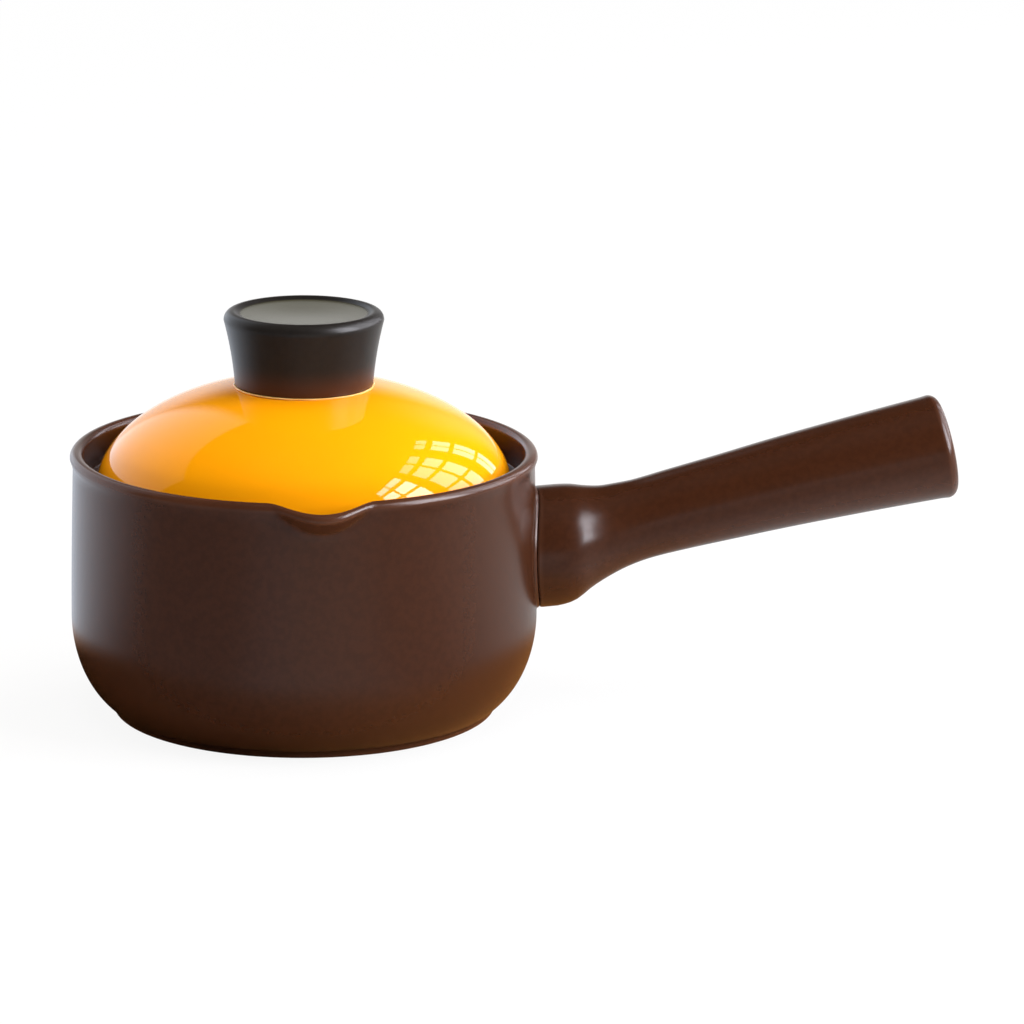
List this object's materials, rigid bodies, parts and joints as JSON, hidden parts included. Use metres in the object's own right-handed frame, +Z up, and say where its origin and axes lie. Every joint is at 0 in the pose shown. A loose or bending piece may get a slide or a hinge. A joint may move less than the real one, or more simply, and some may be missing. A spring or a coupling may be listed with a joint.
{
  "type": "ceramic stew pot",
  "caption": "Round ceramic stew pot with a long hollow side handle, a pouring spout in the rim and a domed lift-off lid with a flared knob.",
  "frame": {"origin": "on the pot's axis in the plane of its foot ring; the recessed middle of the base lies 1.4 mm above it", "axes": "+Z up along the pot's axis, +X along the handle, the pouring spout towards -Y"},
  "size_m": [0.3192, 0.1721, 0.1446],
  "materials": {
    "body_glaze": "satin dark brown glaze, bare on the foot ring",
    "handle_glaze": "satin dark brown glaze",
    "lid_glaze": "high gloss orange-yellow glaze",
    "knob_glaze": "satin near-black glaze"
  },
  "bodies": {
    "pot": {"pot_body": "body_glaze", "handle": "handle_glaze"},
    "lid": {"lid_dome": "lid_glaze", "lid_knob": "knob_glaze"}
  },
  "joints": [
    {"name": "lid_lift", "type": "slide", "parent": "pot", "child": "lid", "axis": [0, 0, 1], "range_m": [0, 0.12]}
  ]
}
